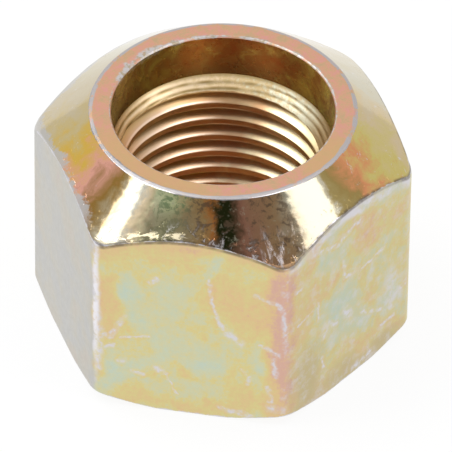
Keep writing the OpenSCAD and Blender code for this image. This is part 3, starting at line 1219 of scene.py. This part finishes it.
def wall_material():
    """The counterbore's wall: smooth brown film, redder at the back and more olive at the sides, painted
    dark as shade inside the bore and lighter at the sides as painted light.
    """
    tree, shader, material = new_material("counterbore_wall")
    place = object_place(tree)
    right = tree.math("SINE", turn_about(tree, place))
    sides = tree.math("ABSOLUTE", right)
    # The film, lighter and more olive at the sides as painted light
    cloud = tree.math("MULTIPLY_ADD", tree.noise(place, *WALL_CLOUD), WALL_SWING, WALL_SHIFT)
    colour = tree.ramp(tree.math("MULTIPLY_ADD", sides, WALL_SIDES, cloud), WALL_FILM_AND_LIGHT)
    # Painted shade at the back, lower down, and on the left
    shade = tree.span(tree.part(place, "Z"), *WALL_SHADE_HEIGHT)
    shade = tree.times(shade, tree.span(sides, *WALL_SHADE_BACK))
    colour = tree.blend(tree.most(shade, tree.span(right, *WALL_SHADE_LEFT)), colour, WALL_SHADE)
    colour = tree.blend(tree.span(edge_wear(tree, place), *WALL_WEAR), colour, WORN_EDGE)
    fine = tree.noise(place, *WALL_FINE)
    dress(tree, shader, colour, tree.span(fine, *NOISE_RANGE, *WALL_ROUGH), [(fine, WALL_FINE_DEPTH)])
    return material


# Thread: the film, lighter to the right as painted light; painted shade at its back and left, deep in the
# flanks and, tan, at the far right; and painted highlights on the crests' edges
THREAD_CLOUD = (0.5, 4.0, 0.6, 0.4)
THREAD_LIGHT_LEAN = 0.5
THREAD_BACK = (-0.75, -0.97)
THREAD_BACK_HEIGHT = (6.0, LEAD_IN_END, 0.1, 0.75)
THREAD_LEFT = (-0.45, -0.85)
THREAD_LEFT_HEIGHT = (10.6, LEAD_IN_END, 0.0, 0.45)
THREAD_RIGHT_SHADE = (0.66, 0.88, 0.0, 0.75)
DEEP_RADIUS = (THREAD_MINOR + 0.12, THREAD_MAJOR - 0.2)
DEEP_SIDE = (0.2, -0.5, 0.1, 0.7)
CREST_HIGHLIGHT_RADII = ((THREAD_MINOR + 0.005, THREAD_MINOR + 0.03), (THREAD_MINOR + 0.2, THREAD_MINOR + 0.08))
CREST_HIGHLIGHT_SIDE = (0.1, -0.3, 0.0, 0.8)

# Lead-in: where it starts, its mottled film, lighter to the right as painted light, painted shade at the far
# right, its grooves and top painted dark as shade, and its grain
LEAD_IN_START = (LEAD_IN_END - 0.12, LEAD_IN_END + 0.04)
LEAD_IN_GRAIN = (2.6, 4.0, 0.7)
LEAD_IN_MOTTLE = (0.3, 0.7, 0.0, 0.6)
LEAD_IN_LIGHT_LEAN = 0.85
LEAD_IN_RIGHT_SHADE = (0.8, 0.97, 0.0, 0.7)
LEAD_IN_TOP_SHADE = (COUNTERBORE_FLOOR - 0.26, COUNTERBORE_FLOOR, 0.0, 0.85)
GROOVE_SIDE = (0.1, 0.8, 1.0, 0.65)
THREAD_ROUGH = (0.3, 0.34)
THREAD_GRAIN_SHARES = (0.25, 1.0)
THREAD_GRAIN_DEPTH = 0.012


def thread_material():
    """The thread and its lead-in: a warm film on the thread and a paler, grainier one on the lead-in, each
    with painted light and shade.
    """
    tree, shader, material = new_material("thread_wall")
    place = object_place(tree)
    height, radius = tree.part(place, "Z"), axis_distance(tree, place)
    turn = turn_about(tree, place)
    right = tree.math("SINE", turn)

    # Lighter and paler to the right: painted light
    warm = tree.math("MULTIPLY_ADD", right, THREAD_LIGHT_LEAN, tree.noise(place, *THREAD_CLOUD))
    warm = tree.ramp(warm, THREAD_FILM_AND_LIGHT)
    # Painted shade at the back, more high up, and high up on the left
    back = tree.span(tree.math("COSINE", turn), *THREAD_BACK)
    back = tree.times(back, tree.span(height, *THREAD_BACK_HEIGHT))
    left = tree.times(tree.span(right, *THREAD_LEFT), tree.span(height, *THREAD_LEFT_HEIGHT))
    warm = tree.blend(tree.most(back, left), warm, THREAD_SHADE)
    # Painted shade deep in the flanks, most on the left
    deep_shade = tree.times(tree.span(radius, *DEEP_RADIUS), tree.span(right, *DEEP_SIDE))
    warm = tree.blend(deep_shade, warm, DEEP_FLANK_SHADE)
    # Painted highlight along the crests' edges, mostly on the left
    crest_highlight = tree.times(tree.window(radius, *CREST_HIGHLIGHT_RADII), tree.span(right, *CREST_HIGHLIGHT_SIDE))
    warm = tree.blend(crest_highlight, warm, CREST_HIGHLIGHT)
    # Painted shade at the far right
    warm = tree.blend(tree.span(right, *THREAD_RIGHT_SHADE), warm, SIDE_SHADE)

    grain = tree.noise(place, *LEAD_IN_GRAIN)
    # Lighter to the right: painted light
    pale = tree.math("MULTIPLY_ADD", right, LEAD_IN_LIGHT_LEAN, tree.span(grain, *LEAD_IN_MOTTLE))
    pale = tree.ramp(pale, LEAD_IN_FILM_AND_LIGHT)
    # Painted shade at the far right
    pale = tree.blend(tree.span(right, *LEAD_IN_RIGHT_SHADE), pale, SIDE_SHADE)
    # Painted shade in the grooves, whose depth the mesh's wear value holds here, and at the top
    groove = tree.times(tree.attribute("wear", "Fac"), tree.span(right, *GROOVE_SIDE))
    pale = tree.blend(tree.most(groove, tree.span(height, *LEAD_IN_TOP_SHADE)), pale, GROOVE_SHADE)

    lead_in = tree.span(height, *LEAD_IN_START)
    grained = tree.times(grain, tree.mix(lead_in, *THREAD_GRAIN_SHARES))
    rough = tree.mix(lead_in, *THREAD_ROUGH)
    dress(tree, shader, tree.blend(lead_in, warm, pale), rough, [(grained, THREAD_GRAIN_DEPTH)])
    return material


def zone_materials():
    """One material for each zone of the skin, in the zones' order."""
    return [flats_material(), seat_material(), rim_material(), wall_material(), thread_material()]


# Stage, light and camera

FLOOR_SIZE = 4.0
FLOOR_COLOUR = (0.95, 0.95, 0.95)
# Under the nut, the floor's colour as the metal sees it: a painted warm reflection for the thread
SHADED_FLOOR = (0.75, 0.38, 0.18)
FLOOR_GLOW = 0.9

# The room's brightness, its dark gap and its bright window, by how far a direction faces the front and rises
WORLD_BRIGHT = 0.86
WORLD_WINDOW = 1.08
WORLD_DARK = 0.38
GAP_FACING = (0.28, 0.34)
GAP_HEIGHT = (0.64, 0.74)
ZENITH_HEIGHT = (0.93, 0.985, 0.0, 0.7)
WINDOW_FACING = (0.4, 0.7)
WINDOW_HEIGHT = (0.1, 0.25)

# Soft boxes: azimuth and elevation, width and height, all in degrees, and brightness
SOFTBOX_DISTANCE = 0.5
SOFTBOXES = {
    "left_softbox": (-72.6, 45, 3.9, 42, 0.8),
    "right_softbox": (72.6, 45, 17.7, 46, 1.4),
    "high_left_softbox": (-104, 58, 44, 30, 2.9),
    "high_right_softbox": (80, 70, 24, 18, 1.7),
}


def direction(azimuth, elevation):
    """Unit vector from the nut, with azimuth 0 towards -Y and 90 degrees towards +X."""
    return Vector((
        math.sin(azimuth) * math.cos(elevation),
        -math.cos(azimuth) * math.cos(elevation),
        math.sin(elevation),
    ))


def make_floor():
    """A plain pale floor that looks white to the eye and in the metal, and keeps the nut's shadow; under the
    nut the metal sees it orange brown, as a painted warm reflection.
    """
    half = FLOOR_SIZE / 2
    mesh = bpy.data.meshes.new("floor")
    corners = [(-half, -half, 0), (half, -half, 0), (half, half, 0), (-half, half, 0)]
    mesh.from_pydata(corners, [], [(0, 1, 2, 3)])
    floor = bpy.data.objects.new("floor", mesh)
    bpy.context.scene.collection.objects.link(floor)
    material = bpy.data.materials.new("floor")
    tree = empty_tree(material)
    rays = tree.add("ShaderNodeLightPath").outputs
    open_floor = tree.span(tree.vector("LENGTH", object_place(tree)), COUNTERBORE_RADIUS, FLAT_RADIUS)
    # Under the nut, glossy rays see the orange brown colour: a painted warm reflection
    hidden = tree.math("SUBTRACT", rays["Is Glossy Ray"], open_floor, clamp=True)
    diffuse = tree.add("ShaderNodeBsdfDiffuse", {"Color": tree.blend(hidden, FLOOR_COLOUR, SHADED_FLOOR)})
    glow = tree.add("ShaderNodeEmission", {"Color": WHITE, "Strength": 1.0})
    seen = tree.most(rays["Is Camera Ray"], rays["Is Glossy Ray"], rays["Is Transmission Ray"])
    share = tree.times(seen, open_floor, FLOOR_GLOW)
    put_mix(tree, "ShaderNodeOutputMaterial", share, diffuse, glow)
    mesh.materials.append(material)


def make_world():
    """White to the camera; round the nut a white room with a brighter front and a dark gap high above it."""
    world = bpy.data.worlds.new("studio")
    tree = empty_tree(world)
    toward = tree.add("ShaderNodeTexCoord").outputs["Generated"]
    facing = tree.vector("DOT_PRODUCT", toward, direction(VIEW_AZIMUTH, 0.0))
    height = tree.part(toward, "Z")
    gap = tree.times(tree.span(facing, *GAP_FACING), tree.span(height, *GAP_HEIGHT))
    gap = tree.most(gap, tree.span(height, *ZENITH_HEIGHT))
    window = tree.times(tree.span(facing, *WINDOW_FACING), tree.span(height, *WINDOW_HEIGHT))
    bright = tree.mix(gap, tree.mix(window, WORLD_BRIGHT, WORLD_WINDOW), WORLD_DARK)
    lit = tree.add("ShaderNodeBackground", {"Color": WHITE, "Strength": bright})
    white = tree.add("ShaderNodeBackground", {"Color": WHITE, "Strength": 1.0})
    seen = tree.add("ShaderNodeLightPath").outputs["Is Camera Ray"]
    put_mix(tree, "ShaderNodeOutputWorld", seen, lit, white)
    bpy.context.scene.world = world


def softbox(name, azimuth, elevation, width, height, radiance):
    """A rectangular lamp that faces the nut, with its brightness as seen in a mirror."""
    lamp = bpy.data.lights.new(name, "AREA")
    lamp.shape = "RECTANGLE"
    lamp.size = 2 * SOFTBOX_DISTANCE * math.tan(math.radians(width) / 2)
    lamp.size_y = 2 * SOFTBOX_DISTANCE * math.tan(math.radians(height) / 2)
    lamp.energy = radiance * math.pi * lamp.size * lamp.size_y
    thing = bpy.data.objects.new(name, lamp)
    toward = direction(VIEW_AZIMUTH + math.radians(azimuth), math.radians(elevation))
    thing.location = toward * SOFTBOX_DISTANCE
    thing.rotation_mode = "QUATERNION"
    thing.rotation_quaternion = toward.to_track_quat("Z", "Y")
    bpy.context.scene.collection.objects.link(thing)


def make_camera():
    """The camera at the photograph's viewing angle."""
    back = direction(VIEW_AZIMUTH, VIEW_ELEVATION)
    right = (-back).cross(Vector((0, 0, 1))).normalized()
    up = right.cross(-back)
    rolled_right = right * math.cos(VIEW_ROLL) + up * math.sin(VIEW_ROLL)
    rolled_up = up * math.cos(VIEW_ROLL) - right * math.sin(VIEW_ROLL)
    place = VIEW_TARGET + back * VIEW_DISTANCE + rolled_right * VIEW_PAN[0] + rolled_up * VIEW_PAN[1]
    data = bpy.data.cameras.new("camera")
    data.lens = VIEW_LENS
    data.sensor_width = SENSOR_WIDTH
    data.clip_start = CLIP_START
    data.clip_end = CLIP_END
    camera = bpy.data.objects.new("camera", data)
    turn = Matrix((rolled_right, rolled_up, back)).transposed().to_4x4()
    camera.matrix_world = Matrix.Translation(place * MM) @ turn
    bpy.context.scene.collection.objects.link(camera)
    bpy.context.scene.camera = camera


nut_object = make_object("plated_lug_nut", build_nut(), zone_materials())
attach(nut_object, "root")
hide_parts(NODE)

make_floor()
make_world()
for lamp_name, lamp_settings in SOFTBOXES.items():
    softbox(lamp_name, *lamp_settings)
make_camera()
bpy.context.scene.view_settings.view_transform = "Standard"
